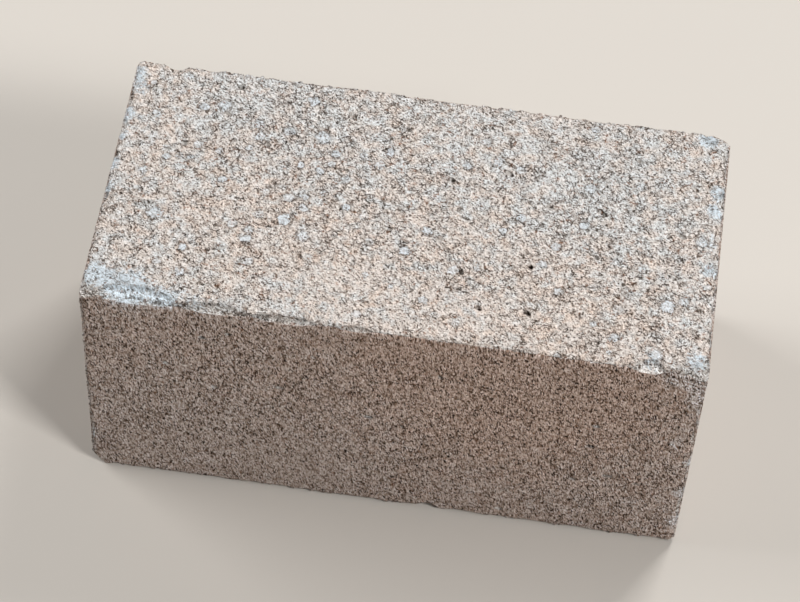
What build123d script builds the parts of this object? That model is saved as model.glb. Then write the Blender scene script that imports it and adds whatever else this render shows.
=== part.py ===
from build123d import *
import os
from dataclasses import dataclass
from math import hypot

# A solid building block of dense aggregate concrete, cast in one piece.
# The origin is the middle of the underside, with +X along the block, +Y to the back and +Z up.
# All sizes are in millimetres.

# The three sizes of the block, face to face
LENGTH = 390.0
WIDTH = 194.0
HEIGHT = 190.0

# The roll that handling leaves on each arris
ARRIS_RADIUS = 2.0

# How deep the open pits of the faces are, and how much their walls lean in, in degrees
PIT_DEPTH = 1.5
PIT_LEAN = 28.0

# The outward directions of the six faces
LEFT = Vector(-1, 0, 0)
RIGHT = Vector(1, 0, 0)
FRONT = Vector(0, -1, 0)
BACK = Vector(0, 1, 0)
UNDERSIDE = Vector(0, 0, -1)
TOP = Vector(0, 0, 1)


@dataclass
class CornerBreak:
    """A corner knocked off, by how far the break runs along each of its three arrises."""

    faces: tuple
    along_x: float
    along_y: float
    along_z: float
    hollow: float


@dataclass
class Spall:
    """A flake lost from the arris between two faces, as long as it is and as far as it reaches over each."""

    faces: tuple
    from_face: Vector
    distance: float
    length: float
    reach_first: float
    reach_second: float
    hollow: float


@dataclass
class Pit:
    """An open pit where a grain came away: its middle on the face, its size and how far its length is turned.

    The middle is given along the block's length, then up or towards the back. The turn is clockwise from
    the block's length, seen from outside.
    """

    x: float
    across: float
    length: float
    width: float
    turn: float


CORNER_BREAKS = [
    CornerBreak((RIGHT, BACK, TOP), along_x=12.0, along_y=9.0, along_z=8.0, hollow=0.6),
    CornerBreak((RIGHT, FRONT, TOP), along_x=14.0, along_y=20.0, along_z=6.0, hollow=0.8),
    CornerBreak((LEFT, FRONT, TOP), along_x=13.0, along_y=15.0, along_z=7.0, hollow=0.6),
    CornerBreak((LEFT, BACK, TOP), along_x=5.0, along_y=5.0, along_z=4.0, hollow=0.3),
    CornerBreak((LEFT, FRONT, UNDERSIDE), along_x=9.0, along_y=9.0, along_z=14.0, hollow=0.6),
    CornerBreak((RIGHT, FRONT, UNDERSIDE), along_x=5.0, along_y=5.0, along_z=6.0, hollow=0.3),
]

SPALLS = [
    # Front arris of the top: the long flaked stretch at the left, and the flake near the right
    Spall((TOP, FRONT), LEFT, 34.0, 66.0, reach_first=13.0, reach_second=4.5, hollow=0.6),
    Spall((TOP, FRONT), LEFT, 84.0, 52.0, reach_first=7.0, reach_second=4.0, hollow=0.5),
    Spall((TOP, FRONT), LEFT, 128.0, 48.0, reach_first=4.0, reach_second=4.5, hollow=0.4),
    Spall((TOP, FRONT), LEFT, 172.0, 30.0, reach_first=3.0, reach_second=3.0, hollow=0.3),
    Spall((TOP, FRONT), RIGHT, 37.0, 22.0, reach_first=9.0, reach_second=4.0, hollow=0.8),
    # Back arris of the top: the notch close to the left corner
    Spall((TOP, BACK), LEFT, 26.0, 15.0, reach_first=8.0, reach_second=6.5, hollow=1.6),
    Spall((TOP, BACK), LEFT, 48.0, 22.0, reach_first=3.0, reach_second=3.0, hollow=0.3),
    # Left arris of the top
    Spall((TOP, LEFT), BACK, 34.0, 14.0, reach_first=3.0, reach_second=4.0, hollow=0.4),
    Spall((TOP, LEFT), BACK, 58.0, 20.0, reach_first=4.0, reach_second=4.5, hollow=0.5),
    Spall((TOP, LEFT), BACK, 84.0, 14.0, reach_first=3.0, reach_second=4.0, hollow=0.4),
    Spall((TOP, LEFT), FRONT, 82.0, 18.0, reach_first=3.0, reach_second=3.5, hollow=0.4),
    # Right arris of the top
    Spall((TOP, RIGHT), BACK, 58.0, 26.0, reach_first=6.0, reach_second=4.0, hollow=0.6),
    Spall((TOP, RIGHT), FRONT, 84.0, 20.0, reach_first=4.0, reach_second=3.0, hollow=0.4),
    # Upright arris at the front right
    Spall((FRONT, RIGHT), TOP, 24.0, 36.0, reach_first=6.0, reach_second=5.0, hollow=0.7),
    Spall((FRONT, RIGHT), TOP, 66.0, 26.0, reach_first=3.5, reach_second=3.5, hollow=0.4),
    Spall((FRONT, RIGHT), UNDERSIDE, 44.0, 30.0, reach_first=3.5, reach_second=4.0, hollow=0.4),
    # Upright arris at the front left
    Spall((FRONT, LEFT), UNDERSIDE, 42.0, 40.0, reach_first=3.5, reach_second=4.0, hollow=0.4),
    # Front arris of the underside
    Spall((FRONT, UNDERSIDE), LEFT, 225.0, 17.0, reach_first=7.0, reach_second=5.0, hollow=1.0),
    Spall((FRONT, UNDERSIDE), LEFT, 246.0, 20.0, reach_first=4.0, reach_second=4.0, hollow=0.5),
    Spall((FRONT, UNDERSIDE), RIGHT, 62.0, 40.0, reach_first=3.0, reach_second=3.5, hollow=0.3),
]


TOP_PITS = [
    # The left half
    Pit(-152, 32, 7.0, 2.5, turn=50),
    Pit(-129, 60, 8.0, 2.9, turn=40),
    Pit(-124, 84, 6.0, 2.9, turn=20),
    Pit(-100, 40, 9.0, 2.9, turn=45),
    Pit(-90, 9, 6.0, 2.5, turn=45),
    Pit(-54, -40, 7.0, 2.5, turn=40),
    Pit(-47, -3, 8.0, 2.9, turn=45),
    Pit(-24, -28, 6.0, 2.5, turn=45),
    Pit(-12, 67, 6.0, 2.5, turn=45),
    # The right half
    Pit(19, -18, 6.0, 2.9, turn=10),
    Pit(21, 31, 6.0, 2.5, turn=50),
    Pit(25, -26, 8.0, 2.9, turn=35),
    Pit(36, -41, 7.0, 2.5, turn=80),
    Pit(50, -67, 7.0, 2.5, turn=50),
    Pit(56, 42, 10.0, 2.9, turn=35),
    Pit(78, -30, 6.0, 2.5, turn=60),
    Pit(80, -66, 7.0, 2.9, turn=40),
    Pit(85, 19, 7.0, 2.9, turn=40),
    Pit(105, 32, 8.0, 2.9, turn=45),
    Pit(118, 20, 11.0, 2.9, turn=40),
    Pit(118, -16, 6.0, 2.5, turn=50),
    Pit(130, -67, 6.0, 2.5, turn=45),
    Pit(138, 66, 6.0, 2.5, turn=45),
    Pit(169, 10, 10.0, 2.9, turn=30),
    Pit(175, 49, 9.0, 2.5, turn=45),
]

FRONT_PITS = [
    Pit(-141, 127, 9.0, 2.5, turn=25),
    Pit(-118, 160, 6.0, 2.9, turn=10),
    Pit(-111, 108, 7.0, 2.9, turn=30),
    Pit(-102, 167, 6.0, 2.9, turn=30),
    Pit(-70, 117, 9.0, 2.5, turn=5),
    Pit(-48, 155, 6.0, 2.5, turn=40),
    Pit(-12, 98, 8.0, 2.9, turn=0),
    Pit(10, 92, 7.0, 2.9, turn=60),
    Pit(32, 152, 6.0, 2.9, turn=60),
    Pit(77, 12, 7.0, 2.9, turn=0),
    Pit(122, 59, 7.0, 2.5, turn=10),
    Pit(130, 99, 8.0, 2.9, turn=0),
    Pit(132, 122, 7.0, 2.9, turn=0),
    Pit(144, 68, 9.0, 2.9, turn=0),
    Pit(163, 63, 7.0, 2.5, turn=20),
]


def corner_point(*faces):
    """The sharp corner, or the middle of the arris or face, where the named faces meet."""
    direction = sum(faces, Vector(0, 0, 0))
    return Vector(
        direction.X * LENGTH / 2,
        direction.Y * WIDTH / 2,
        (direction.Z + 1) * HEIGHT / 2,
    )


def arc_radius(chord, hollow):
    """Radius of the arc that bulges by hollow over a chord."""
    return (chord**2 / 4 + hollow**2) / (2 * hollow)


def corner_break(chip):
    """The ball that takes a corner off, through one point on each of its three arrises."""
    outward = sum(chip.faces, Vector(0, 0, 0))
    corner = corner_point(*chip.faces)
    a = corner - Vector(outward.X * chip.along_x, 0, 0)
    b = corner - Vector(0, outward.Y * chip.along_y, 0)
    c = corner - Vector(0, 0, outward.Z * chip.along_z)
    ab = b - a
    ac = c - a
    normal = ab.cross(ac)
    to_centre = normal.cross(ab) * ac.length**2 + ac.cross(normal) * ab.length**2
    rim_centre = a + to_centre / (2 * normal.length**2)
    rim_radius = (rim_centre - a).length
    radius = arc_radius(2 * rim_radius, chip.hollow)
    side = 1 if normal.dot(outward) > 0 else -1
    centre = rim_centre + normal.normalized() * side * (radius - chip.hollow)
    return Pos(*centre) * Sphere(radius)


def barrel(length, end_radius, middle_radius):
    """A solid turned about X, fattest in the middle."""
    half = length / 2
    outline = ThreePointArc((-half, end_radius), (0, middle_radius), (half, end_radius))
    outline += Polyline((half, end_radius), (half, 0), (-half, 0), (-half, end_radius))
    return revolve(make_face(outline), Axis.X)


def spall(chip):
    """The barrel that scoops a flake off an arris and runs out at both of its ends."""
    first, second = chip.faces
    chord = hypot(chip.reach_first, chip.reach_second)
    radius = arc_radius(chord, chip.hollow)
    # In the section, u runs in over the first face and v in over the second, from the arris
    setback = (radius - chip.hollow) / chord
    u = chip.reach_first / 2 - chip.reach_second * setback
    v = chip.reach_second / 2 - chip.reach_first * setback
    arris_end = corner_point(first, second, chip.from_face)
    centre = arris_end - chip.from_face * chip.distance - second * u - first * v
    place = Plane(origin=centre, x_dir=chip.from_face, z_dir=first)
    return place.location * barrel(chip.length, hypot(u, v), radius)


def pit(face, middle, hollow):
    """The six-sided hollow that a lost grain leaves in a face, with walls that lean in to its floor."""
    half_length = hollow.length / 2
    half_width = hollow.width / 2
    corners = [
        (-half_length, 0), (-half_length / 3, -half_width), (half_length / 2, -half_width),
        (half_length, 0), (half_length / 3, half_width), (-half_length / 2, half_width),
    ]
    mouth = make_face(Polyline(*corners, close=True))
    place = Plane(origin=middle, x_dir=RIGHT, z_dir=-face)
    return place.location * Rot(0, 0, hollow.turn) * extrude(mouth, amount=PIT_DEPTH, taper=PIT_LEAN)


def open_pits():
    """All the open pits of the top and of the front."""
    pits = [pit(TOP, Vector(hollow.x, hollow.across, HEIGHT), hollow) for hollow in TOP_PITS]
    pits += [pit(FRONT, Vector(hollow.x, -WIDTH / 2, hollow.across), hollow) for hollow in FRONT_PITS]
    return pits


def concrete_block():
    """The cast block with its worn arrises, its knocked corners, its flaked edges and its open pits."""
    cast = Pos(0, 0, HEIGHT / 2) * Box(LENGTH, WIDTH, HEIGHT)
    block = fillet(cast.edges(), ARRIS_RADIUS)
    for chip in CORNER_BREAKS:
        block -= corner_break(chip)
    for chip in SPALLS:
        block -= spall(chip)
    return block - open_pits()


os.makedirs("parts", exist_ok=True)
export_step(concrete_block().solid(), "parts/concrete_block.step")
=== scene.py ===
import math
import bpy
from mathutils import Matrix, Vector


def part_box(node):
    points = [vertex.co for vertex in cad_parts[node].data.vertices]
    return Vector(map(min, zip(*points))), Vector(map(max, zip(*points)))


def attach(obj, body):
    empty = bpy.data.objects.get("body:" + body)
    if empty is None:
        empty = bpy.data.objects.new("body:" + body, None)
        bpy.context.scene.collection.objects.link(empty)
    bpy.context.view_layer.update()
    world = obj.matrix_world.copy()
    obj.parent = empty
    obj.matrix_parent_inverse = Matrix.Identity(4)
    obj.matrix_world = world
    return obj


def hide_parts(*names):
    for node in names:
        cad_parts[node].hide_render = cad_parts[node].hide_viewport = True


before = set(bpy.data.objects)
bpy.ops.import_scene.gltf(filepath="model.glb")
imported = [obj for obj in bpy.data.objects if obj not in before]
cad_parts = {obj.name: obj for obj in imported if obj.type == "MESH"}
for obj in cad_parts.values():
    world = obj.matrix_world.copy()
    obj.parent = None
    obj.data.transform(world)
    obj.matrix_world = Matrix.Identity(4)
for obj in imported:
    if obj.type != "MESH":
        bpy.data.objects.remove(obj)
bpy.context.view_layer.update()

from types import SimpleNamespace

import bmesh
import bpy
import numpy as np
from mathutils import Quaternion, Vector

# A solid building block of dense aggregate concrete. Lengths are in metres, as in the frame.
# The block keeps the place and size of its solid. Its relief only goes inwards from there.

MM = 0.001
BLOCK_LOW, BLOCK_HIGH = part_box("concrete_block")
BLOCK_MIDDLE = (BLOCK_LOW + BLOCK_HIGH) / 2
BLOCK_HALF = (BLOCK_HIGH - BLOCK_LOW) / 2

# The height of the top and the place of the front, in millimetres as in the lists of places below
TOP = round(BLOCK_HIGH[2] / MM)
FRONT = round(BLOCK_LOW[1] / MM)

# The fineness of the cast surface before and after its flat stretches are thinned out
SURFACE_STEP = 0.7 * MM
MOST_TRIANGLES = 192000

# How far from an arris the surface keeps all its fineness
KEPT_STRIP = 2.8 * MM

# How near each other the corners of the solid's loose triangles count as one
MERGE_DISTANCE = 0.001 * MM

# Where the random patterns are read, so that each run gives the same block
PATTERN_SEED = 3.7

# The sizes of the patterns that the relief and the finish are made of
OPEN_SIZE = 14 * MM
VOID_SIZE = 3.4 * MM
CREVICE_SIZE = 4.2 * MM
CREVICE_SPREAD = 1.3 * CREVICE_SIZE
GRAIN_SIZE = 2.6 * MM
GAP_SPREAD = 0.9 * GRAIN_SIZE

# Between which values of its noise each pattern fades in, and what an open place adds to that noise
OPEN_LIMITS = (0.35, 0.68)
VOID_LIMITS, VOID_GAIN = (0.70, 0.82), 0.11
CREVICE_LIMITS, CREVICE_GAIN = (0.59, 0.70), 0.11
GAP_LIMITS, GAP_GAIN = (0.54, 0.68), 0.03

# How far from its middle line a crevice fades in, and how far from a grain's edge a gap does
CREVICE_EDGE = (0.034, 0.010)
GAP_EDGE = (0.11, 0.03)

# Pale stones that show in the top face, by x, y and radius in millimetres
STONES = [
    (-76, 80, 4.3), (-144, 63, 3.2), (-132, 67, 4.4), (-65, 51, 5.1), (-79, -1, 3.7), (-69, 1, 3.2),
    (-69, -9, 3.7), (-65, -30, 4.4), (-143, 32, 3.2), (-138, -51, 3.2), (-160, -27, 4.9), (-174, 53, 3.2),
    (-56, 30, 2.7), (-79, -19, 4.4), (-21, 46, 3.2), (-42, -3, 3.2), (-87, 52, 3.9), (-105, 45, 3.2),
    (-161, 19, 2.9), (-153, 21, 2.9), (-146, 21, 2.4), (-173, 6, 3.2), (-123, 6, 2.9), (-99, -30, 2.9),
    (-100, -38, 3.7), (-63, 23, 3.2), (-26, 34, 3.7), (-76, 26, 2.9), (-168, -80, 3.7), (-177, -78, 3.2),
    (-55, 39, 3.2), (-58, 6, 2.4), (-136, -70, 3.2), (68, 7, 3.3), (31, -41, 3.9), (15, -67, 3.9),
    (165, -47, 5.0), (109, 38, 3.9), (175, -42, 3.3), (11, -13, 3.6), (85, -27, 3.3), (182, 91, 3.6),
    (182, 7, 4.2), (161, -85, 4.2), (108, 8, 3.3), (58, -5, 2.8), (92, -12, 3.1), (147, -21, 2.8),
    (39, 65, 3.3), (-1, -31, 3.6),
]

# Small holes that show in the top face, in the same way. The solid has the larger ones as pits.
TOP_HOLES = [
    (-161, -10, 1.7), (-149, -12, 1.9), (-166, -76, 1.9), (-175, -35, 1.6), (-128, -30, 1.8), (-113, 72, 1.6),
    (-71, -12, 1.8), (-111, -78, 1.6), (-48, -65, 1.7), (-122, -51, 1.6), (-13, -14, 1.6), (-48, 71, 1.8),
    (-83, 66, 1.6), (-96, -47, 1.6), (80, 26, 1.8), (158, -77, 1.8), (144, 36, 1.5), (81, -56, 1.5),
    (31, -21, 1.7), (13, -62, 1.5),
]

# Small holes that show in the front face, by x, z and radius
FRONT_HOLES = [
    (-93, 96, 1.6), (-16, 118, 1.8), (-108, 41, 1.8), (-70, 75, 1.8), (52, 150, 1.8), (92, 118, 2.0),
    (60, 40, 1.8), (20, 20, 2.0), (8, 24, 1.8),
]


class Wiring:
    """Adds nodes to one tree, whether the tree makes a shape or a finish."""

    def __init__(self, tree):
        self.tree = tree

    def feed(self, socket, value):
        if isinstance(value, bpy.types.NodeSocket):
            self.tree.links.new(value, socket)
        else:
            socket.default_value = value

    def add(self, kind, values, **settings):
        node = self.tree.nodes.new(kind)
        for name, value in settings.items():
            setattr(node, name, value)
        for name, value in values.items():
            self.feed(node.inputs[name], value)
        return node

    def math(self, operation, *values):
        return self.add("ShaderNodeMath", dict(enumerate(values)), operation=operation).outputs[0]

    def plus(self, *values):
        total = values[0]
        for value in values[1:]:
            total = self.math("ADD", total, value)
        return total

    def times(self, *values):
        product = values[0]
        for value in values[1:]:
            product = self.math("MULTIPLY", product, value)
        return product

    def minus(self, a, b):
        return self.math("SUBTRACT", a, b)

    def rest(self, value):
        """What a share leaves of the whole."""
        return self.minus(1.0, value)

    def centred(self, value):
        """A noise from 0 to 1, moved to lie about 0."""
        return self.minus(value, 0.5)

    def vector(self, operation, *values):
        node = self.add("ShaderNodeVectorMath", dict(enumerate(values)), operation=operation)
        return node.outputs["Value" if operation == "DISTANCE" else "Vector"]

    def scaled(self, vector, scale):
        node = self.add("ShaderNodeVectorMath", {0: vector, "Scale": scale}, operation="SCALE")
        return node.outputs["Vector"]

    def parts(self, vector):
        return self.add("ShaderNodeSeparateXYZ", {0: vector}).outputs

    def joined(self, x, y, z):
        return self.add("ShaderNodeCombineXYZ", {0: x, 1: y, 2: z}).outputs[0]

    def ramp(self, value, start, end, low=0.0, high=1.0, smooth=True):
        """Low up to start, high from end on, and a blend between."""
        kind = "SMOOTHSTEP" if smooth else "LINEAR"
        inputs = {"Value": value, "From Min": start, "From Max": end, "To Min": low, "To Max": high}
        return self.add("ShaderNodeMapRange", inputs, interpolation_type=kind).outputs["Result"]

    def noise(self, place, size, detail=2.0, roughness=0.5, colour=False):
        """Cloudy noise, from 0 to 1, whose lumps are about size across."""
        inputs = {"Vector": place, "Scale": 1 / size, "Detail": detail, "Roughness": roughness}
        node = self.add("ShaderNodeTexNoise", inputs, noise_dimensions="3D")
        return node.outputs["Color" if colour else "Fac"]

    def cells(self, place, size, feature="F1"):
        """A packing of random cells about size across."""
        inputs = {"Vector": place, "Scale": 1 / size}
        return self.add("ShaderNodeTexVoronoi", inputs, voronoi_dimensions="3D", feature=feature).outputs

    def blend(self, share, a, b, mode="MIX"):
        """Colour a, or b as far as share says."""
        node = self.add("ShaderNodeMix", {0: share, 6: a, 7: b}, data_type="RGBA", blend_type=mode)
        return node.outputs[2]


def shake(w, place, size, reach):
    """A push by noise, at most about reach, that takes the straight sides off what is read there."""
    push = w.vector("SUBTRACT", w.noise(place, size, detail=1.0, colour=True), (0.5, 0.5, 0.5))
    return w.scaled(push, 2 * reach)


def open_texture(w, place):
    """Where the mix stayed open and coarse, 1, and where it closed up, 0."""
    return w.ramp(w.noise(place, OPEN_SIZE, detail=1.0), *OPEN_LIMITS)


def shown(w, noise, openness, gain, limits):
    """Where a pattern shows, 1, and where it doesn't, 0. Open places show more of it."""
    return w.ramp(w.plus(noise, w.times(openness, gain)), *limits)


def voids(w, place, openness):
    """The crooked little hollows between the grains, 1 where one is deep."""
    hollow = w.noise(place, VOID_SIZE, detail=2.0, roughness=0.6)
    return shown(w, hollow, openness, VOID_GAIN, VOID_LIMITS)


def crevices(w, place, openness):
    """Thin crooked cracks round the coarser grains, 1 in the middle of one."""
    winding = w.math("ABSOLUTE", w.centred(w.noise(place, CREVICE_SIZE, detail=1.5)))
    spread = w.noise(place, CREVICE_SPREAD, detail=0.0)
    return w.times(w.ramp(winding, *CREVICE_EDGE), shown(w, spread, openness, CREVICE_GAIN, CREVICE_LIMITS))


def grain_gaps(w, place, openness):
    """The thin dark gaps along the edges of the coarser grains, 1 in the middle of one."""
    edge = w.cells(place, GRAIN_SIZE, feature="DISTANCE_TO_EDGE")["Distance"]
    spread = w.noise(place, GAP_SPREAD, detail=0.0)
    return w.times(w.ramp(edge, *GAP_EDGE), shown(w, spread, openness, GAP_GAIN, GAP_LIMITS))


def seeded(w, place, seed):
    """The place in the random patterns from which a point's are read."""
    return w.vector("ADD", place, w.joined(seed, seed, seed))


def depths_inside(w, place):
    """How far a point is inside the unbroken block's nearest face, and how far from its nearest arris."""
    offset = w.vector("ABSOLUTE", w.vector("SUBTRACT", place, tuple(BLOCK_MIDDLE)))
    x, y, z = w.parts(w.vector("SUBTRACT", tuple(BLOCK_HALF), offset))
    least_xy = w.math("MINIMUM", x, y)
    below_face = w.math("MINIMUM", least_xy, z)
    # The middle one of the three distances to the faces
    from_arris = w.math("MAXIMUM", least_xy, w.math("MINIMUM", w.math("MAXIMUM", x, y), z))
    return below_face, from_arris


def stored(w, shape, name, value, kind="FLOAT"):
    """The shape with one more value kept at each of its points, for the finish to read."""
    inputs = {"Geometry": shape, "Name": name, "Value": value}
    return w.add("GeometryNodeStoreNamedAttribute", inputs, data_type=kind, domain="POINT").outputs[0]


# How many stones and holes there are in all, and how they share out over the ends, the sides and the beds
MARK_COUNT = 620
FACE_SHARES = (0.2, 0.4, 0.4)
MARK_SEED = 5

# The radii of the random stones and holes and the least room round each, in millimetres
STONE_RADII = (1.8, 3.8)
HOLE_RADII = (1.0, 1.9)
MARK_ROOM = 4
STONE_SHARE = 0.6

# How pale the named stones and the random ones are, from 0 to 1
NAMED_PALENESS = (0.45, 0.8)
RANDOM_PALENESS = (0.15, 0.6)

# The kind of a hole, and between which kinds a mark turns from a hole into a stone
HOLE = -1.0
KIND_LIMITS = (-0.1, 0.1)

# The least nearness that is told, well outside a mark's rim
FAR_OUTSIDE = -1.0


def scattered_marks():
    """Points at the stones and holes of the surface, with how far each reaches and what it is.

    A stone's kind is its paleness, and all holes are of one kind.
    """
    chance = np.random.default_rng(MARK_SEED)
    marks = [((x, y, TOP), r, chance.uniform(*NAMED_PALENESS)) for x, y, r in STONES]
    marks += [((x, y, TOP), r, HOLE) for x, y, r in TOP_HOLES]
    marks += [((x, FRONT, z), r, HOLE) for x, z, r in FRONT_HOLES]
    low, high = np.array(BLOCK_LOW) / MM, np.array(BLOCK_HIGH) / MM
    while len(marks) < MARK_COUNT:
        place = chance.uniform(low, high)
        axis = chance.choice(3, p=FACE_SHARES)
        place[axis] = chance.choice([low[axis], high[axis]])
        if min(math.dist(place, other) - r for other, r, _ in marks) < MARK_ROOM:
            continue
        if chance.random() < STONE_SHARE:
            marks.append((tuple(place), chance.uniform(*STONE_RADII), chance.uniform(*RANDOM_PALENESS)))
        else:
            marks.append((tuple(place), chance.uniform(*HOLE_RADII), HOLE))
    mesh = bpy.data.meshes.new("surface_marks")
    mesh.from_pydata([tuple(c * MM for c in place) for place, _, _ in marks], [], [])
    reach = mesh.attributes.new("reach", "FLOAT", "POINT")
    reach.data.foreach_set("value", [r * MM for _, r, _ in marks])
    kind = mesh.attributes.new("kind", "FLOAT", "POINT")
    kind.data.foreach_set("value", [k for _, _, k in marks])
    holder = bpy.data.objects.new("surface_marks", mesh)
    bpy.context.scene.collection.objects.link(holder)
    return holder


def nearest_mark(w, marks, place):
    """How near the nearest mark's middle is, 1 there, 0 at its rim and less outside, and the mark's kind."""
    points = w.add("GeometryNodeObjectInfo", {"Object": marks}).outputs["Geometry"]
    index = w.add("GeometryNodeSampleNearest", {"Geometry": points, "Sample Position": place}).outputs[0]

    def sampled(value, kind):
        inputs = {"Geometry": points, "Value": value, "Index": index}
        return w.add("GeometryNodeSampleIndex", inputs, data_type=kind, domain="POINT").outputs[0]

    middle = sampled(w.add("GeometryNodeInputPosition", {}).outputs[0], "FLOAT_VECTOR")
    reach = sampled(named(w, "reach"), "FLOAT")
    kind = sampled(named(w, "kind"), "FLOAT")
    nearness = w.rest(w.math("DIVIDE", w.vector("DISTANCE", place, middle), reach))
    return w.math("MAXIMUM", nearness, FAR_OUTSIDE), kind


def named(w, name):
    """A value kept at each point, under its name."""
    return w.add("GeometryNodeInputNamedAttribute", {"Name": name}, data_type="FLOAT").outputs["Attribute"]


# The depths and reaches of the relief, which its tree has as inputs, and what share of it the sides have
RELIEF_SIZES = {
    "Undulation": 0.30 * MM,
    "Roughness": 0.35 * MM,
    "Stone height": 0.25 * MM,
    "Void depth": 0.7 * MM,
    "Hole depth": 1.1 * MM,
    "Crumble depth": 4.4 * MM,
    "Crumble reach": 4.5 * MM,
    "Side share": 0.55,
    "Seed": PATTERN_SEED,
}

# The sizes of the patterns of the relief
UNDULATION_SIZE = 28 * MM
ROUGHNESS_SIZE = 3.2 * MM
RAGGED_SIZE, RAGGED_REACH = 3 * MM, 0.7 * MM
SWELL_SIZE = 12 * MM
COARSE_SIZE = 5.4 * MM
CRUMB_SIZE = 2.3 * MM

# How far upwards a point has to face for the finish of the top, and how the ends' arrises share in it
UPWARD_LIMITS = (0.3, 0.8)
END_LEAN = 0.3
END_KEEP = 0.9

# How deep inside a face a point counts as broken, and how much a break crumbles where an arris crumbles by 1
BROKEN_DEPTHS = (0.5 * MM, 1.3 * MM)
BROKEN_CRUMBLE = 0.55

# How deep inside a face a point counts as in a pit, and how far from the arrises that begins
PIT_DEPTHS = (0.2 * MM, 1.4 * MM)
PIT_MARGINS = (10 * MM, 14 * MM)

# Between which values of its pattern each bite of the crumbling goes from nothing to its whole depth
SWELL_LIMITS, SWELL_BITE = (0.40, 0.66), 0.25
COARSE_LIMITS, COARSE_BITE = (0.55, 0.70), 0.35
FINE_LIMITS, FINE_BITE = (0.35, 0.75), 0.3
WORN_RIM_LIMITS, WORN_RIM_BITE = (0.2, 0.7), 0.15

# How near a mark's middle its stone is whole, and how near its hole is
STONE_EDGE = (0.0, 0.3)
HOLE_EDGE = (0.0, 0.6)


def bites(w, pattern_place, rough_place):
    """How deep the crumbling goes: a slow swell, lost coarse and fine grains, and their worn rims."""
    swell = w.noise(pattern_place, SWELL_SIZE, detail=1.0)
    coarse = w.cells(rough_place, COARSE_SIZE)
    crumbs = w.cells(rough_place, CRUMB_SIZE)
    return w.plus(
        w.ramp(swell, *SWELL_LIMITS, 0.0, SWELL_BITE),
        w.ramp(w.parts(coarse["Color"])[0], *COARSE_LIMITS, 0.0, COARSE_BITE),
        w.ramp(w.parts(crumbs["Color"])[0], *FINE_LIMITS, 0.0, FINE_BITE),
        w.ramp(crumbs["Distance"], *WORN_RIM_LIMITS, 0.0, WORN_RIM_BITE),
    )


def empty_relief_tree():
    """A tree that takes in the block, the sizes of the relief and the marks, and its inputs' identifiers."""
    tree = bpy.data.node_groups.new("cast_surface", "GeometryNodeTree")
    tree.interface.new_socket(name="Block", in_out="INPUT", socket_type="NodeSocketGeometry")
    sockets = {}
    for name, size in RELIEF_SIZES.items():
        socket = tree.interface.new_socket(name=name, in_out="INPUT", socket_type="NodeSocketFloat")
        socket.default_value = size
        sockets[name] = socket.identifier
    tree.interface.new_socket(name="Block", in_out="OUTPUT", socket_type="NodeSocketGeometry")
    socket = tree.interface.new_socket(name="Marks", in_out="INPUT", socket_type="NodeSocketObject")
    sockets["Marks"] = socket.identifier
    return tree, sockets


def cast_surface_tree(material):
    """The tree that gives the block its cast relief, always inwards from the surface that it is given."""
    tree, sockets = empty_relief_tree()
    w = Wiring(tree)
    given = w.add("NodeGroupInput", {}).outputs
    place = w.add("GeometryNodeInputPosition", {}).outputs[0]
    outward = w.add("GeometryNodeInputNormal", {}).outputs["Normal"]
    pattern_place = seeded(w, place, given["Seed"])

    # The worn arrises of the two ends keep the finish of the top further down than the moulded sides do
    outward_x, _, outward_z = w.parts(outward)
    endward = w.math("ABSOLUTE", outward_x)
    upward = w.ramp(w.plus(outward_z, w.times(endward, END_LEAN)), *UPWARD_LIMITS)
    face_share = w.plus(given["Side share"], w.times(upward, w.rest(given["Side share"])))
    undulation = w.times(w.noise(pattern_place, UNDULATION_SIZE), given["Undulation"])
    roughness = w.times(w.noise(pattern_place, ROUGHNESS_SIZE, detail=2.5, roughness=0.6), given["Roughness"])
    rough_place = w.vector("ADD", place, shake(w, pattern_place, RAGGED_SIZE, RAGGED_REACH))
    nearness, kind = nearest_mark(w, given["Marks"], rough_place)
    is_stone = w.ramp(kind, *KIND_LIMITS)
    stones = w.times(w.ramp(nearness, *STONE_EDGE), is_stone)
    holes = w.times(w.ramp(nearness, *HOLE_EDGE), w.rest(is_stone))
    hollow = w.rest(stones)
    stone_step = w.times(hollow, given["Stone height"])
    openness = open_texture(w, pattern_place)
    void_depth = w.times(voids(w, pattern_place, openness), hollow, given["Void depth"])
    hole_depth = w.times(holes, given["Hole depth"])
    faces = w.times(w.plus(undulation, roughness, stone_step, void_depth, hole_depth), face_share)

    below_face, from_arris = depths_inside(w, place)
    closeness = w.rest(w.ramp(w.math("DIVIDE", from_arris, given["Crumble reach"]), 0.0, 1.0))
    broken = w.ramp(below_face, *BROKEN_DEPTHS)
    crumbling = w.math("MAXIMUM", closeness, w.times(broken, BROKEN_CRUMBLE))
    crumble = w.times(crumbling, bites(w, pattern_place, rough_place), given["Crumble depth"])

    inwards = w.scaled(outward, w.times(w.plus(faces, crumble), -1.0))
    shape = stored(w, given["Block"], "cast_place", place, "FLOAT_VECTOR")
    for_the_finish = {
        "upward": w.math("MAXIMUM", upward, w.times(closeness, endward, END_KEEP)),
        "mark_nearness": nearness,
        "mark_kind": kind,
        "open": openness,
        "broken": broken,
        "from_arris": from_arris,
        "in_pit": w.times(w.ramp(below_face, *PIT_DEPTHS), w.ramp(from_arris, *PIT_MARGINS)),
    }
    for name, value in for_the_finish.items():
        shape = stored(w, shape, name, value)
    moved = w.add("GeometryNodeSetPosition", {"Geometry": shape, "Offset": inwards})
    whole = w.add("GeometryNodeRealizeInstances", {"Geometry": moved.outputs[0]})
    clad = w.add("GeometryNodeSetMaterial", {"Geometry": whole.outputs[0], "Material": material})
    w.add("NodeGroupOutput", {0: clad.outputs[0]})
    return tree, sockets


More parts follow.
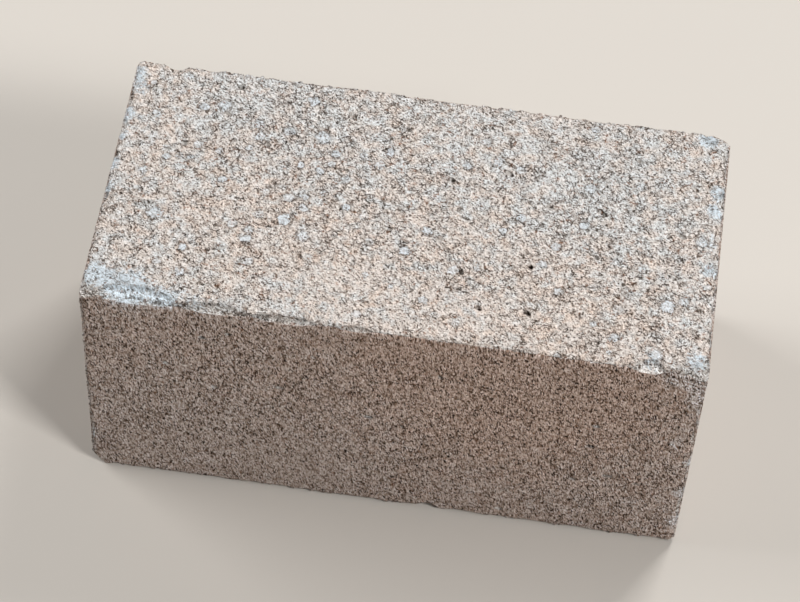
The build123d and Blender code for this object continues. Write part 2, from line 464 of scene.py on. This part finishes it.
def merged_copy(source, name):
    """A copy of a solid's mesh with its loose triangles joined up."""
    mesh = bpy.data.meshes.new(name)
    shape = bmesh.new()
    shape.from_mesh(source.data)
    bmesh.ops.remove_doubles(shape, verts=shape.verts, dist=MERGE_DISTANCE)
    shape.to_mesh(mesh)
    shape.free()
    copy = bpy.data.objects.new(name, mesh)
    bpy.context.scene.collection.objects.link(copy)
    return copy


def plain_mesh_of(worked, name):
    """The object's final shape as a plain mesh, with no modifier left."""
    bpy.context.view_layer.update()
    graph = bpy.context.evaluated_depsgraph_get()
    shape = worked.evaluated_get(graph)
    mesh = bpy.data.meshes.new_from_object(shape, preserve_all_data_layers=True, depsgraph=graph)
    mesh.name = name
    return mesh


def triangle_count(mesh):
    return sum(len(polygon.vertices) - 2 for polygon in mesh.polygons)


def kept_values(mesh, name):
    """What the mesh keeps under a name, one number for each of its points."""
    values = np.zeros(len(mesh.vertices), np.float32)
    mesh.attributes[name].data.foreach_get("value", values)
    return values


def give_relief(worked, material):
    """Turns the smooth solid into the cast surface, at its full fineness."""
    remesh = worked.modifiers.new("even_surface", "REMESH")
    remesh.mode = "VOXEL"
    remesh.voxel_size = SURFACE_STEP
    remesh.use_smooth_shade = True
    relief = worked.modifiers.new("cast_relief", "NODES")
    relief.node_group, sockets = cast_surface_tree(material)
    for name, size in RELIEF_SIZES.items():
        relief[sockets[name]] = size
    marks = scattered_marks()
    relief[sockets["Marks"]] = marks
    fine = plain_mesh_of(worked, "concrete_fine")
    worked.modifiers.clear()
    bpy.data.objects.remove(marks)
    worked.data = fine


def thin_flat_stretches(worked):
    """Takes triangles out where the surface is flat, and leaves its arrises and pits as they are."""
    fine = worked.data
    thin_out = worked.vertex_groups.new(name="thin_out")
    plain = (kept_values(fine, "from_arris") > KEPT_STRIP) & (kept_values(fine, "in_pit") == 0)
    thin_out.add(np.nonzero(plain)[0].tolist(), 1.0, "REPLACE")
    thinned = worked.modifiers.new("fewer_triangles", "DECIMATE")
    thinned.ratio = min(1.0, MOST_TRIANGLES / triangle_count(fine))
    thinned.vertex_group = "thin_out"
    thinned.vertex_group_factor = 1.0
    worked.data = plain_mesh_of(worked, "concrete_cast")
    worked.modifiers.clear()


def cast_block(material):
    """The block's visible shape: its solid with the relief of cast concrete."""
    worked = merged_copy(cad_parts["concrete_block"], "concrete_cast")
    give_relief(worked, material)
    thin_flat_stretches(worked)
    worked.data.materials.clear()
    worked.data.materials.append(material)
    worked.data.polygons.foreach_set("use_smooth", [True] * len(worked.data.polygons))
    return worked


# Each zone in the five lists below is its middle, its reach and its strength, the first two in millimetres.
# The first list is where the colour leans to warm sand, up to 1, or to cool grey, down to -1.
TINTS = [
    ((-95, -30, TOP), 75, 0.9),
    ((-30, -42, TOP), 60, 0.7),
    ((10, -85, TOP), 50, 0.2),
    ((110, -85, TOP), 55, 0.5),
    ((-190, 80, TOP), 35, 0.5),
    ((-118, 80, TOP), 50, -1.0),
    ((-60, 60, TOP), 45, -0.5),
    ((110, 40, TOP), 75, -0.8),
    ((30, 60, TOP), 60, -0.4),
    ((-150, FRONT, 30), 120, -0.7),
    ((-60, FRONT, 10), 90, -0.5),
    ((90, FRONT, 150), 130, 0.7),
    ((60, FRONT, 185), 150, 0.6),
]

# Where the texture is more open, up to 1, or more closed, down to -1
OPENINGS = [
    ((-75, 68, TOP), 60, 0.8),
    ((-20, 45, TOP), 60, 0.4),
    ((115, 20, TOP), 60, 0.6),
    ((150, -20, TOP), 45, 0.5),
    ((-60, -20, TOP), 35, 0.4),
    ((-35, -78, TOP), 60, -1.0),
    ((30, -85, TOP), 50, -0.8),
    ((-170, 30, TOP), 50, -0.5),
    ((-90, -60, TOP), 40, -0.4),
    ((-60, FRONT, 15), 90, -1.0),
    ((60, FRONT, 10), 80, -0.7),
    ((-160, FRONT, 15), 60, -0.5),
]

# Where wear has left the concrete pale, with a bluish tint that is painted reflection of the sky
WORN_ZONES = [
    ((-165, -88, TOP), 26, 1.0),
    ((-188, -80, TOP), 16, 0.9),
    ((-120, -93, TOP), 14, 0.5),
    ((-140, -92, TOP), 16, 0.8),
    ((-194, 84, 189), 14, 0.9),
    ((-187, 72, TOP), 12, 0.6),
    ((-195, 50, TOP), 12, 1.0),
    ((-194, 32, TOP), 9, 0.8),
    ((-196, 9, TOP), 12, 1.0),
    ((-195, -12, TOP), 10, 0.9),
    ((180, 90, TOP), 12, 1.0),
    ((190, 48, TOP), 10, 0.9),
    ((189, 33, TOP), 11, 1.0),
    ((187, 6, TOP), 14, 0.5),
    ((189, -14, TOP), 10, 0.9),
    ((160, -90, TOP), 11, 0.55),
    ((187, -85, TOP), 13, 0.8),
    ((-55, -90, TOP), 12, 0.4),
    ((181, FRONT, 114), 14, 0.5),
    ((195, FRONT, 95), 10, 0.9),
    ((194, FRONT, 60), 12, 0.9),
    ((194, FRONT, 25), 14, 0.9),
    ((-190, FRONT, 35), 20, 0.4),
]

# Where the arris of the top is frayed and dirty
FRAYED_ZONES = [
    ((-178, FRONT, TOP), 30, 1.0),
    ((-150, FRONT, TOP), 30, 1.0),
    ((-120, FRONT, TOP), 30, 1.0),
    ((-90, FRONT, TOP), 30, 0.6),
    ((-60, FRONT, TOP), 26, 0.3),
    ((-30, FRONT, TOP), 26, 0.3),
    ((185, FRONT, TOP), 22, 1.0),
    ((20, FRONT, TOP), 40, 0.25),
]

# Where a break shows its layers, one above the other
LAYERED_ZONES = [
    ((193, FRONT, 184), 20, 1.0),
    ((176, FRONT, 187), 14, 0.9),
    ((196, FRONT, 164), 18, 0.9),
]


def zone_amount(places, zones):
    """The sum over the zones of how strong each is at the places, fading out to its reach."""
    total = np.zeros(len(places))
    for middle, reach, amount in zones:
        distance = np.linalg.norm(places - np.array(middle), axis=1) / reach
        total += amount * np.clip(1 - distance**2, 0, 1) ** 2
    return total


def tint_zones(mesh):
    """Keeps at each point how warm, open, worn, frayed and layered the concrete is there."""
    places = np.zeros(len(mesh.vertices) * 3, np.float32)
    mesh.attributes["cast_place"].data.foreach_get("vector", places)
    places = places.reshape(-1, 3) / MM
    lists = {
        "warmth": TINTS,
        "opening": OPENINGS,
        "worn": WORN_ZONES,
        "frayed": FRAYED_ZONES,
        "layered": LAYERED_ZONES,
    }
    for name, zones in lists.items():
        amount = zone_amount(places, zones).astype(np.float32)
        mesh.attributes.new(name, "FLOAT", "POINT").data.foreach_set("value", amount)


# The colours of the concrete, as linear light
WARM_SAND = (0.587, 0.519, 0.469, 1)
GREY_SAND = (0.547, 0.538, 0.524, 1)
PEACH = (0.612, 0.497, 0.421, 1)
# The worn colours are partly pale wear and partly painted reflection of the sky
WORN_SKY_BLUE = (0.52, 0.575, 0.615, 1)
# The moulded sides' colours are partly their own and partly painted shade with warm light bounced up from the
# ground, so they are darker and browner than the top
MOULDED_BROWN_AND_BOUNCE = (0.59, 0.450, 0.378, 1)
MOULDED_GREY_AND_BOUNCE = (0.56, 0.472, 0.425, 1)
# A worn flake is paler partly by painted light, which makes up for the shade on its sloping face
LIT_WORN_FLAKE = (0.68, 0.765, 0.83, 1)
WORN_SIDE = (0.74, 0.73, 0.75, 1)
LAYER_GREY = (0.88, 0.83, 0.83, 1)
PALE_EDGE = (0.64, 0.64, 0.64, 1)
STONE_PALE = (0.58, 0.615, 0.645, 1)
# A fresh break is paler partly by painted light, which makes up for the shade on its sloping face
LIT_FRESH_BREAK = (0.70, 0.67, 0.635, 1)
RUST = (0.36, 0.15, 0.06, 1)

# The sizes of the patterns of the finish
SAND_SIZE = 1.4 * MM
GRIT_SIZE = 3.2 * MM
FINE_SIZE = 0.7 * MM
SPECK_SIZE = 0.60 * MM
CLOUD_SIZE = 9 * MM
PEACH_SIZE = 7 * MM
RUST_SIZE = 3.0 * MM
WEAR_SIZE = 2.6 * MM
RIM_SIZE = 3.0 * MM
STREAK_SIZE = 1.1 * MM
TOOTH_SIZE = 2.0 * MM
LAYER_SIZE = 1.5 * MM
SWITCH_SIZE = 1.6 * MM
SHAKE_SIZE, SHAKE_REACH = 2.4 * MM, 0.7 * MM


def attribute(w, name, output="Fac"):
    """A value that the shape keeps at each of its points."""
    return w.add("ShaderNodeAttribute", {}, attribute_name=name).outputs[output]


def by_side(w, at, values):
    """The first value on the top, the second on the moulded sides and a blend between."""
    return w.ramp(at.side, 0.0, 1.0, *values)


def grey(w, value):
    return w.add("ShaderNodeCombineColor", {0: value, 1: value, 2: value}).outputs[0]


# How much an open zone opens the texture, and how much sides and holes do, for voids, crevices and gaps
OPENING_GAIN = 0.6
SIDE_VOIDS, HOLE_VOIDS = -0.6, 2.6
SIDE_CREVICES = -0.5
SIDE_GAPS = -2.0

# Between which values wear, layers and holes fade in, and how patchy the wear is
WORN_LIMITS, WORN_PATCHINESS = (0.2, 0.8), 1.1
LAYERED_LIMITS = (0.1, 0.5)
HOLE_LIMITS = (-0.4, 0.6)


def surface_values(w):
    """What is known of each point of the surface before the grains are laid over it."""
    at = SimpleNamespace()
    at.place = w.vector("ADD", attribute(w, "cast_place", "Vector"), (PATTERN_SEED,) * 3)
    at.upward = attribute(w, "upward")
    at.side = w.rest(at.upward)
    at.opening = attribute(w, "opening")
    at.openness = w.plus(attribute(w, "open"), w.times(at.opening, OPENING_GAIN))
    at.broken = attribute(w, "broken")
    at.frayed = attribute(w, "frayed")
    at.layered = w.ramp(attribute(w, "layered"), *LAYERED_LIMITS)
    at.from_arris = attribute(w, "from_arris")
    at.warmth = attribute(w, "warmth")
    patches = w.times(w.centred(w.noise(at.place, WEAR_SIZE)), WORN_PATCHINESS)
    at.worn = w.ramp(w.plus(attribute(w, "worn"), patches), *WORN_LIMITS)
    at.mark_nearness = attribute(w, "mark_nearness")
    at.mark_kind = attribute(w, "mark_kind")
    is_hole = w.math("MAXIMUM", w.times(at.mark_kind, HOLE), 0.0)
    at.holes = w.times(w.ramp(at.mark_nearness, *HOLE_LIMITS), is_hole)
    hollowness = w.plus(at.openness, w.times(at.side, SIDE_VOIDS), w.times(at.holes, HOLE_VOIDS))
    at.deep = voids(w, at.place, hollowness)
    at.cracks = crevices(w, at.place, w.plus(at.openness, w.times(at.side, SIDE_CREVICES)))
    return at


# Where the way a point is read switches, how ragged that line is, and how far a break keeps the top's way
SWITCH_LEVEL = 0.5
SWITCH_RAGGEDNESS = 0.9
BREAK_SWITCH = -0.5

# How far places are pressed together, which draws the grains out: aslant on the top, so that their painted
# shade runs as a light from the back right would lay it, and upright on the sides
TOP_DRAWING = 0.20
SIDE_DRAWING = 0.68

# How far the upright grains lean, so that their painted shade slants as a light from the right would lay it
SIDE_SLANT = 0.20

# How much finer the sand of the moulded sides is, and how much less it is shaken
SIDE_FINENESS = 0.4
SIDE_CALM = 0.4

# Most specks are pale and a few are dark, which a power below 1 gives
SPECK_POWER = 0.35


def lay_grains(w, at):
    """Adds the patterns of the grains. The mould draws those of its four sides out. They lean a little, and
    the top's are drawn aslant, so that their painted shade runs as a light from one side would lay it.

    Which way a point is read switches at once, as all between the two ways would smear the grains.
    """
    ragged = w.times(w.centred(w.noise(at.place, SWITCH_SIZE, detail=1.0)), SWITCH_RAGGEDNESS)
    moulded = w.plus(at.side, ragged, w.times(at.broken, BREAK_SWITCH))
    at.drawn = w.math("GREATER_THAN", moulded, SWITCH_LEVEL)
    push = w.scaled(shake(w, at.place, SHAKE_SIZE, SHAKE_REACH), w.rest(w.times(at.drawn, SIDE_CALM)))
    x, y, z = w.parts(w.vector("ADD", at.place, push))
    slant = w.times(z, at.drawn, SIDE_SLANT)
    across = w.times(w.minus(x, y), w.rest(at.drawn), -TOP_DRAWING)
    height = w.times(z, w.rest(w.times(at.drawn, SIDE_DRAWING)))
    grain_place = w.joined(w.plus(x, slant, across), w.plus(w.minus(y, across), slant), height)
    sand_scale = w.plus(1.0, w.times(at.drawn, SIDE_FINENESS))
    at.sand = w.cells(w.scaled(grain_place, sand_scale), SAND_SIZE)
    at.sand_tone, at.sand_height, at.sand_loss = w.parts(at.sand["Color"])
    at.grit = w.cells(grain_place, GRIT_SIZE)
    at.grit_tone, _, at.grit_choice = w.parts(at.grit["Color"])
    at.fine = w.noise(grain_place, FINE_SIZE, detail=1.5)
    at.gap = grain_gaps(w, grain_place, w.plus(at.openness, w.times(at.side, SIDE_GAPS)))
    speck = w.math("POWER", w.parts(w.cells(grain_place, SPECK_SIZE)["Color"])[0], SPECK_POWER)
    at.speckle = w.minus(speck, 1 / (1 + SPECK_POWER))


# How ragged the rims of the stones are, by fine and by coarse noise
RIM_FINE, RIM_COARSE = 0.8, 1.4

# How near its middle a stone is whole, and how near it its dark rim fades in and out
STONE_FADE = (0.0, 0.2)
RIM_START, RIM_END = (-0.40, -0.10), (0.12, -0.05)

# How much of the grains goes where there is a stone and where the concrete is worn
STONE_SMOOTHING = 0.55
WORN_SMOOTHING = 0.35


def lay_stones(w, at):
    """Adds the stones with their ragged rims, and how much of the grains shows through stones and wear."""
    ragged = w.plus(
        at.mark_nearness,
        w.times(w.centred(at.fine), RIM_FINE),
        w.times(w.centred(w.noise(at.place, RIM_SIZE, detail=1.0)), RIM_COARSE),
    )
    is_stone = w.math("MAXIMUM", at.mark_kind, 0.0)
    at.stones = w.times(w.ramp(ragged, *STONE_FADE), is_stone)
    at.rims = w.times(w.ramp(ragged, *RIM_START), w.ramp(ragged, *RIM_END), is_stone, at.upward)
    on_stone = w.rest(w.times(at.stones, STONE_SMOOTHING))
    at.crumb = w.times(on_stone, w.rest(w.times(at.worn, WORN_SMOOTHING)))


# How far from its middle, squared, a grain's dome ends
SAND_REACH = 0.42
GRIT_REACH = 0.30

# What share of the sand is lost: everywhere, and more in open places, voids and beside an arris
LOSS, OPEN_LOSS, VOID_LOSS, ARRIS_LOSS = 0.05, 0.03, 0.3, 0.15
ARRIS_STRIP = (4.5 * MM, 1.5 * MM)
LOST_EDGE = (0.62, 0.42)

# What share of the grit has a pore, how wide that is, and which share of the grit stands up
PORE_SHARE, OPEN_PORES = 0.08, 0.05
PORE_EDGE = (0.28, 0.12)
PROUD_GRIT = (0.45, 0.55)

# The least height of a grain of sand in millimetres, and what the highest have more
SAND_LEAST, SAND_MORE = 0.10, 0.12

# How much of that there is on the top and on the sides
SAND_SHARE = (1.0, 0.9)

# The other heights in millimetres. Where there are two, they are for the top and for the sides.
GRIT_HEIGHT = (0.16, 0.10)
FINE_HEIGHT = (0.55, 0.50)
GRAIN_LEVEL = (0.54, 0.44)
LOST_GRAIN = -0.55
VOID_FLOOR = -0.25
CREVICE_FLOOR = -0.6
GAP_FLOOR = (-0.42, -0.22)
PORE_FLOOR = (-0.6, -0.5)
RIM_FLOOR = -0.55
STONE_LEVEL = 0.5
WORN_LEVEL = 0.2
HOLE_FLOOR = -0.1


def dome(w, cell, reach):
    """The round back of a grain, 1 at its middle and 0 where the square of the distance is reach."""
    return w.ramp(w.times(cell["Distance"], cell["Distance"]), 0.0, reach, 1.0, 0.0, smooth=False)


def concrete_height(w, at):
    """The height of the finish in millimetres. Lost sand leaves holes, and some grit has a pore."""
    loss = w.plus(
        LOSS,
        w.times(at.openness, OPEN_LOSS),
        w.times(at.deep, VOID_LOSS),
        w.times(w.ramp(at.from_arris, *ARRIS_STRIP), ARRIS_LOSS),
    )
    lost = w.times(w.math("LESS_THAN", at.sand_loss, loss), w.ramp(at.sand["Distance"], *LOST_EDGE))
    porous = w.math("LESS_THAN", at.grit_choice, w.plus(PORE_SHARE, w.times(at.openness, OPEN_PORES)))
    pore = w.times(porous, w.ramp(at.grit["Distance"], *PORE_EDGE))
    sand_height = w.plus(SAND_LEAST, w.times(at.sand_height, SAND_MORE))
    proud = w.ramp(at.grit_choice, *PROUD_GRIT)
    grains = w.plus(
        w.times(dome(w, at.sand, SAND_REACH), sand_height, by_side(w, at, SAND_SHARE)),
        w.times(dome(w, at.grit, GRIT_REACH), proud, by_side(w, at, GRIT_HEIGHT)),
        w.times(w.centred(at.fine), by_side(w, at, FINE_HEIGHT)),
        by_side(w, at, GRAIN_LEVEL),
        w.times(lost, LOST_GRAIN),
        w.times(at.deep, VOID_FLOOR),
        w.times(at.cracks, CREVICE_FLOOR),
        w.times(at.gap, by_side(w, at, GAP_FLOOR)),
        w.times(pore, by_side(w, at, PORE_FLOOR)),
        w.times(at.rims, RIM_FLOOR),
    )
    return w.plus(
        w.times(grains, at.crumb),
        w.times(at.stones, STONE_LEVEL),
        w.times(at.worn, WORN_LEVEL),
        w.times(at.holes, at.deep, HOLE_FLOOR),
    )


# How an edge's streaks and a break's layers are drawn out along the block, and how the layers slope
STREAK_DRAWING = (0.36, 1.0, 1.0)
LAYER_DRAWING = (0.16, 1.0, 1.0)
LAYER_SLOPE = 0.35

# The painted shade along the top's arrises, which stands for the shaded break below them: how wide it is at
# most where sound, what a frayed place adds, and how softly it ends
EDGE_WIDTH, FRAYED_WIDTH, EDGE_FADE = 2.4 * MM, 6.0 * MM, 0.5 * MM

# Where the streaks of a frayed edge are dark and how dark, how dark those of a break, and how much wear takes
# off them; the streaks are partly dark streaks and partly painted shade of the break
STREAK_LIMITS, STREAK_DARKNESS = (0.44, 0.56), 0.70
BREAK_DARKNESS = 0.7
WORN_FADING = 0.7

# How dark the painted shade along the edge is where it isn't frayed
SOUND_EDGE_SHADE = 0.15

# Where the layers of a break are dark, and how dark
LAYER_LIMITS, LAYER_DARKNESS = (0.44, 0.54), 0.38

# The pale line along a sound arris: where it ends, how streaks move that, what a frayed place hides, how pale
PALE_LINE = (2.6 * MM, 1.2 * MM)
PALE_WANDER = 1.6 * MM
FRAYED_HIDES = 0.8
PALE_SHARE = 0.6


def sloped(w, place):
    """The place, slanted so that what runs level in a pattern comes to run down to the right on the front."""
    x, y, z = w.parts(place)
    return w.joined(x, y, w.plus(z, w.times(x, LAYER_SLOPE)))


def edge_finish(w, at):
    """How dark the crumbled arrises and layered breaks are, and how pale the sound arrises.

    The top has painted shade along its arrises, for the shaded break below them, widest where it is most
    frayed.
    Its streaks are partly dark streaks and partly painted shade.
    """
    streak = w.noise(w.vector("MULTIPLY", at.place, STREAK_DRAWING), STREAK_SIZE, detail=1.5)
    width = w.plus(EDGE_WIDTH, w.times(at.frayed, FRAYED_WIDTH))
    tooth = w.times(w.noise(at.place, TOOTH_SIZE, detail=1.0), width)
    # Painted shade on the top along its arrises, with ragged teeth, for the shaded break below them
    edge_shade_strip = w.times(w.ramp(w.minus(tooth, at.from_arris), 0.0, EDGE_FADE), w.rest(at.drawn))
    unworn = w.rest(w.times(at.worn, at.upward, WORN_FADING))
    flaky = w.times(at.frayed, w.ramp(streak, *STREAK_LIMITS, STREAK_DARKNESS, 0.0), unworn)
    painted_edge_shade = w.times(edge_shade_strip, w.plus(SOUND_EDGE_SHADE, flaky))
    crumbled = w.math("MAXIMUM", painted_edge_shade, w.times(at.broken, flaky, BREAK_DARKNESS))
    layers = w.noise(w.vector("MULTIPLY", sloped(w, at.place), LAYER_DRAWING), LAYER_SIZE, detail=1.0)
    dark_layers = w.times(at.layered, w.ramp(layers, *LAYER_LIMITS, LAYER_DARKNESS, 0.0))
    edge_shade_and_streaks = w.math("MAXIMUM", crumbled, dark_layers)
    beside = w.ramp(w.plus(at.from_arris, w.times(streak, PALE_WANDER)), *PALE_LINE)
    pale = w.times(beside, w.rest(w.times(at.frayed, FRAYED_HIDES)), PALE_SHARE)
    return edge_shade_and_streaks, pale


# Between which values the sand turns from grey to warm, where peach shows, and how a warm zone moves both
WARM_LIMITS, WARM_GAIN = (0.32, 0.68), 0.14
PEACH_LIMITS, PEACH_SHARE, PEACH_GAIN = (0.46, 0.72), 0.5, 0.6

# Between which values the moulded sides turn from grey to brown, and how cloudy that is
BROWN_LIMITS, BROWN_CLOUD = (0.3, 1.6), 1.5

# How far a stone, on the top and on the sides, a break, wear and a layered break take on their colours
STONE_COLOURING = (1.1, 0.3)
BREAK_COLOURING = 0.6
WORN_COLOURING = 0.9
LAYER_COLOURING = 0.8


def ground_colour(w, at, pale_edge):
    """The colour of the concrete before its grains, gaps and rust."""
    cloud = w.noise(at.place, CLOUD_SIZE, detail=2.0)
    warm = w.ramp(w.plus(cloud, w.times(at.warmth, WARM_GAIN)), *WARM_LIMITS)
    sand_colour = w.blend(warm, GREY_SAND, WARM_SAND)
    peach = w.ramp(w.noise(at.place, PEACH_SIZE, detail=1.0), *PEACH_LIMITS, 0.0, PEACH_SHARE)
    sand_colour = w.blend(w.times(peach, w.plus(1.0, w.times(at.warmth, PEACH_GAIN))), sand_colour, PEACH)
    brown = w.ramp(w.plus(w.times(cloud, BROWN_CLOUD), at.warmth), *BROWN_LIMITS)
    # The sides' colour holds painted shade and warm bounce light as well as the moulded faces' own colour
    side_and_bounce_colour = w.blend(brown, MOULDED_GREY_AND_BOUNCE, MOULDED_BROWN_AND_BOUNCE)
    colour = w.blend(at.upward, side_and_bounce_colour, sand_colour)
    colour = w.blend(w.times(at.stones, by_side(w, at, STONE_COLOURING)), colour, STONE_PALE)
    # Breaks take a colour paled partly by painted light on their shaded slopes
    colour = w.blend(w.times(at.broken, BREAK_COLOURING), colour, LIT_FRESH_BREAK)
    # Worn places are pale from wear and bluish from painted reflection of the sky
    worn_and_sky_colour = w.blend(at.broken, w.blend(at.side, WORN_SKY_BLUE, WORN_SIDE), LIT_WORN_FLAKE)
    colour = w.blend(w.times(at.worn, WORN_COLOURING), colour, worn_and_sky_colour)
    colour = w.blend(pale_edge, colour, PALE_EDGE)
    return w.blend(w.times(at.layered, at.side, LAYER_COLOURING), colour, LAYER_GREY)


# How far the tone of single grains and specks strays, on the top and on the sides, and what an open zone adds
SAND_TONES = (0.12, 0.06)
SPECK_TONES = (2.4, 3.1)
SPECK_OPENING = (0.10, 0.25)
GRIT_TONE = 0.04
OPENING_TONE = -0.04
DARKEST_GRAIN = 0.06


def grain_tones(w, at):
    """How pale or dark each grain and speck is, about 1."""
    specks = w.plus(1.0, w.times(at.opening, by_side(w, at, SPECK_OPENING)))
    tones = w.plus(
        1.0,
        w.times(w.centred(at.sand_tone), by_side(w, at, SAND_TONES), at.crumb),
        w.times(at.speckle, by_side(w, at, SPECK_TONES), at.crumb, specks),
        w.ramp(at.grit_tone, 0.0, 1.0, -GRIT_TONE, GRIT_TONE, smooth=False),
        w.times(at.opening, OPENING_TONE),
    )
    return w.math("MAXIMUM", tones, DARKEST_GRAIN)


# From which height the shade begins and ends, and how dark it gets, on the top and on the sides
SHADE_START = (-0.15, -0.50)
SHADE_END = (0.66, 1.10)
DARKEST_SHADE = (0.15, 0.10)

# How much darker it is down in a pit
PIT_SHADE = 0.2

# How much of the fine noise streaks the shade of the sides, and what an open zone adds
SHADE_STREAKS, OPEN_STREAKS = 0.8, 0.5


def gap_shade(w, at, height):
    """How much light the heights of the finish leave, 1 on the highest grains."""
    streaks = w.plus(SHADE_STREAKS, w.times(at.opening, OPEN_STREAKS))
    streaked = w.times(w.centred(at.fine), at.side, streaks)
    limits = [by_side(w, at, values) for values in (SHADE_START, SHADE_END, DARKEST_SHADE)]
    return w.ramp(w.plus(height, streaked), *limits, 1.0)


# The powers that turn tone into red, green and blue, so that the dark gaps are brown. The tone holds painted
# shade, which these give the warm brown of light bounced up from the ground, most on the sides.
RED_POWER = (0.80, 1.00)
GREEN_POWER = (0.88, 1.20)
BLUE_POWER = (0.95, 1.40)


def browned(w, at, tone):
    """The tone as a colour, the browner the darker it is."""
    powers = [w.math("POWER", tone, by_side(w, at, power)) for power in (RED_POWER, GREEN_POWER, BLUE_POWER)]
    return w.add("ShaderNodeCombineColor", dict(enumerate(powers))).outputs[0]


# Where rust shows, and how much from the high places to the low ones
RUST_LIMITS = (0.585, 0.71)
RUST_HEIGHTS, RUST_SHARES = (0.8, 0.2), (0.1, 0.8)


def rusted(w, at, colour, height, shade):
    """The colour with rusty specks, most of them down between the grains."""
    specks = w.ramp(w.noise(at.place, RUST_SIZE, detail=2.0), *RUST_LIMITS)
    share = w.times(specks, w.ramp(height, *RUST_HEIGHTS, *RUST_SHARES))
    return w.blend(share, colour, w.blend(1.0, RUST, grey(w, shade), mode="MULTIPLY"))


# What a millimetre of the finish's height comes to in its relief, on the top and on the sides
RELIEF_HEIGHT = (1.4 * MM, 2.4 * MM)

# How dull the concrete is
CONCRETE_ROUGHNESS = 0.92
CONCRETE_SPECULAR = 0.3


def concrete_material():
    """Cast concrete: sand grains, paler stones, dark gaps, warm and cool patches and rusty specks."""
    material = bpy.data.materials.new("cast_concrete")
    material.use_nodes = True
    material.node_tree.nodes.clear()
    w = Wiring(material.node_tree)
    at = surface_values(w)
    lay_grains(w, at)
    lay_stones(w, at)
    height = concrete_height(w, at)
    edge_shade_and_streaks, pale_edge = edge_finish(w, at)
    shade = gap_shade(w, at, height)
    pit_shade = w.rest(w.times(attribute(w, "in_pit"), PIT_SHADE))
    # The tone takes in the painted shade of the gaps and pits and the painted shade along the crumbled
    # arrises
    tone = w.times(grain_tones(w, at), shade, w.rest(edge_shade_and_streaks), pit_shade)
    colour = w.blend(1.0, ground_colour(w, at, pale_edge), browned(w, at, tone), mode="MULTIPLY")
    colour = rusted(w, at, colour, height, shade)
    relief = w.times(height, by_side(w, at, RELIEF_HEIGHT))
    bump = w.add("ShaderNodeBump", {"Strength": 1.0, "Distance": 1.0, "Height": relief})
    surface = w.add("ShaderNodeBsdfPrincipled", {"Base Color": colour, "Normal": bump.outputs[0]})
    surface.inputs["Roughness"].default_value = CONCRETE_ROUGHNESS
    surface.inputs["Specular IOR Level"].default_value = CONCRETE_SPECULAR
    w.add("ShaderNodeOutputMaterial", {"Surface": surface.outputs[0]})
    return material


# The studio: a pale floor and three square soft boxes, each by its place, its size and its power
FLOOR_COLOUR = (0.60, 0.56, 0.51, 1)
FLOOR_ROUGHNESS = 0.9
FLOOR_HALF = 6.0
LIT_PLACE = (0, 0, 0.1)
SOFT_BOXES = {
    "key_light": ((1.2, 2.4, 3.3), 1.2, 92),
    "side_light": ((2.7, -1.8, 3.0), 1.0, 115),
    "left_fill": ((-2.8, 0.6, 2.4), 2.0, 75),
}
AIR_LIGHT = 0.12


def studio_floor():
    mesh = bpy.data.meshes.new("studio_floor")
    half = FLOOR_HALF
    corners = [(-half, -half, 0), (half, -half, 0), (half, half, 0), (-half, half, 0)]
    mesh.from_pydata(corners, [], [(0, 1, 2, 3)])
    floor = bpy.data.objects.new("studio_floor", mesh)
    bpy.context.scene.collection.objects.link(floor)
    material = bpy.data.materials.new("pale_floor")
    material.use_nodes = True
    surface = material.node_tree.nodes["Principled BSDF"]
    surface.inputs["Base Color"].default_value = FLOOR_COLOUR
    surface.inputs["Roughness"].default_value = FLOOR_ROUGHNESS
    mesh.materials.append(material)


def soft_box(name, place, size, power):
    """A square soft box at a place, turned to the block."""
    light = bpy.data.lights.new(name, "AREA")
    light.size = size
    light.energy = power
    lamp = bpy.data.objects.new(name, light)
    lamp.location = place
    lamp.rotation_mode = "QUATERNION"
    lamp.rotation_quaternion = (Vector(LIT_PLACE) - Vector(place)).to_track_quat("-Z", "Y")
    bpy.context.scene.collection.objects.link(lamp)


def studio_light():
    for name, (place, size, power) in SOFT_BOXES.items():
        soft_box(name, place, size, power)
    world = bpy.data.worlds.new("studio_air")
    world.use_nodes = True
    air = world.node_tree.nodes["Background"]
    air.inputs["Color"].default_value = (1, 1, 1, 1)
    air.inputs["Strength"].default_value = AIR_LIGHT
    bpy.context.scene.world = world


# The camera, as solved from the corners of the block in the photograph. Its lens is in millimetres.
CAMERA_PLACE = (0.09524, -1.11203, 1.60249)
CAMERA_AZIMUTH = 5.137
CAMERA_ELEVATION = 53.482
CAMERA_ROLL = 3.565
CAMERA_LENS = 128.63
CAMERA_SENSOR = 36


def photograph_camera():
    camera = bpy.data.objects.new("camera", bpy.data.cameras.new("camera"))
    bpy.context.scene.collection.objects.link(camera)
    azimuth = math.radians(CAMERA_AZIMUTH)
    elevation = math.radians(CAMERA_ELEVATION)
    ahead = Vector((
        -math.sin(azimuth) * math.cos(elevation),
        math.cos(azimuth) * math.cos(elevation),
        -math.sin(elevation),
    ))
    level = ahead.to_track_quat("-Z", "Y")
    camera.rotation_mode = "QUATERNION"
    camera.rotation_quaternion = level @ Quaternion((0, 0, 1), math.radians(CAMERA_ROLL))
    camera.location = CAMERA_PLACE
    camera.data.sensor_width = CAMERA_SENSOR
    camera.data.lens = CAMERA_LENS
    bpy.context.scene.camera = camera


concrete = concrete_material()
block = cast_block(concrete)
tint_zones(block.data)
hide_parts("concrete_block")
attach(block, "root")

studio_floor()
studio_light()
photograph_camera()
bpy.context.scene.view_settings.view_transform = "Standard"
